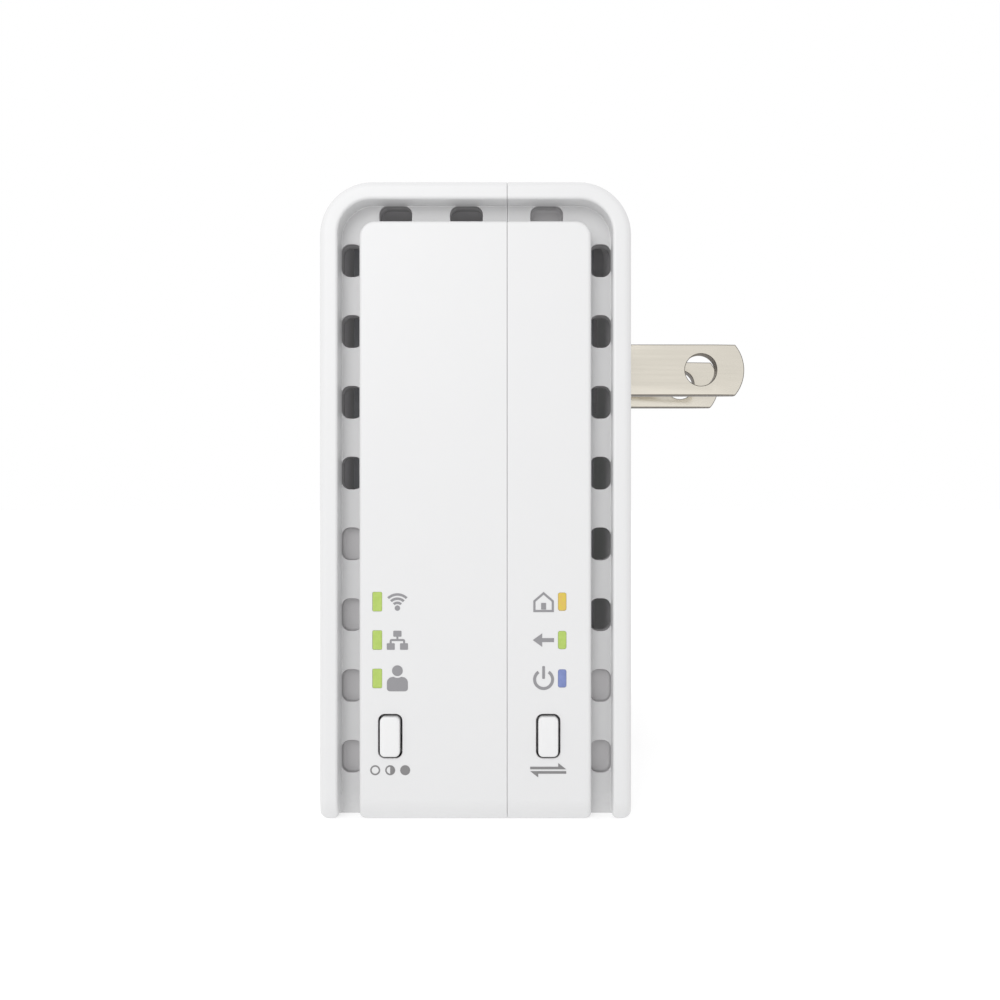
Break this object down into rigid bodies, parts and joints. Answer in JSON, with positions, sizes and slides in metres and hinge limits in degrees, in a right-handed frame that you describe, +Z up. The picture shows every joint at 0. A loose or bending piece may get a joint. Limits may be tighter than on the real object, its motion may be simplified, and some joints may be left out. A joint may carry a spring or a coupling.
{
  "type": "powerline adapter",
  "caption": "Plug-in mains network adapter: white two-part body with flat blades on its rear face, vented side channels, lit indicator windows and push buttons.",
  "frame": {"origin": "on the wall face, midway between the two blades at the height of their centre line", "axes": "+Y points into the wall outlet, out of the wall face; +Z points up, towards the rounded top; +X points to the side with the indicators and buttons"},
  "size_m": [0.0545, 0.0484, 0.0641],
  "materials": {
    "white_shell": "fine satin moulded ABS",
    "button_white": "satin moulded ABS",
    "screw_steel": "zinc plated",
    "label_film": "blank silver-grey film",
    "nickel_plate": "nickel-plated brass, satin",
    "black_resin": "moulded black resin",
    "carrier_resin": "moulded grey resin",
    "green_lens": "translucent light guide, lit green",
    "amber_lens": "translucent light guide, lit amber, green and blue",
    "power_laminate": "green solder mask on glass-fibre laminate",
    "main_laminate": "pale grey solder mask on glass-fibre laminate",
    "fuse_brown": "moulded radial fuse",
    "blue_coating": "dipped epoxy coating",
    "yellow_film": "moulded film-capacitor box",
    "ferrite": "sintered ferrite",
    "copper_wire": "enamelled copper wire",
    "capacitor_sleeve": "shrunk sleeve over an aluminium can",
    "yellow_tape": "polyester winding tape",
    "thermal_pad": "soft gap pad",
    "sink_aluminium": "extruded, satin",
    "tin_plate": "tin-plated steel",
    "led_body": "moulded lamp body",
    "contact_gold": "gold-plated spring wire"
  },
  "bodies": {
    "body": {"front_housing": "white_shell", "rear_housing": "white_shell", "housing_screws": "screw_steel", "rating_label": "label_film", "line_blade": "nickel_plate", "neutral_blade": "nickel_plate", "blade_carrier": "carrier_resin", "front_light_pipe": "green_lens", "rear_light_pipe": "amber_lens", "power_board": "power_laminate", "fuse": "fuse_brown", "varistor": "blue_coating", "line_filter_capacitor": "yellow_film", "line_choke_core": "ferrite", "line_choke_winding": "copper_wire", "bridge_rectifier": "black_resin", "bulk_capacitors": "capacitor_sleeve", "transformer_core": "ferrite", "transformer_winding": "yellow_tape", "transformer_bobbin": "black_resin", "output_capacitor": "capacitor_sleeve", "optocoupler": "black_resin", "safety_capacitor": "blue_coating", "coupling_transformer": "black_resin", "board_header": "black_resin", "main_board": "main_laminate", "powerline_chip": "black_resin", "thermal_pad": "thermal_pad", "heat_sink": "sink_aluminium", "radio_shield": "tin_plate", "ethernet_magnetics": "black_resin", "memory_chip": "black_resin", "crystal": "tin_plate", "indicator_leds": "led_body", "mode_switch": "tin_plate", "sync_switch": "tin_plate", "reset_switch": "tin_plate", "ethernet_jack_shield": "tin_plate", "ethernet_jack_body": "black_resin", "ethernet_jack_contacts": "contact_gold", "upper_antenna": "main_laminate", "front_antenna": "main_laminate", "antenna_leads": "black_resin"},
    "mode_button": {"mode_button": "button_white"},
    "mode_plunger": {"mode_switch_plunger": "black_resin"},
    "sync_button": {"sync_button": "button_white"},
    "sync_plunger": {"sync_switch_plunger": "black_resin"},
    "reset_plunger": {"reset_switch_plunger": "black_resin"}
  },
  "joints": [
    {"name": "mode_press", "type": "slide", "parent": "body", "child": "mode_button", "axis": [-1, 0, 0], "range_m": [0, 0.0003], "stiffness_N_per_m": 2000},
    {"name": "mode_plunger_press", "type": "slide", "parent": "body", "child": "mode_plunger", "axis": [-1, 0, 0], "range_m": [0, 0.0003]},
    {"name": "sync_press", "type": "slide", "parent": "body", "child": "sync_button", "axis": [-1, 0, 0], "range_m": [0, 0.0003], "stiffness_N_per_m": 2000},
    {"name": "sync_plunger_press", "type": "slide", "parent": "body", "child": "sync_plunger", "axis": [-1, 0, 0], "range_m": [0, 0.0003]},
    {"name": "reset_press", "type": "slide", "parent": "body", "child": "reset_plunger", "axis": [0, 0, 1], "range_m": [0, 0.00025], "stiffness_N_per_m": 1500}
  ],
  "couplings": [
    {"joint": "mode_plunger_press", "follows": "mode_press", "ratio": 1},
    {"joint": "sync_plunger_press", "follows": "sync_press", "ratio": 1}
  ]
}
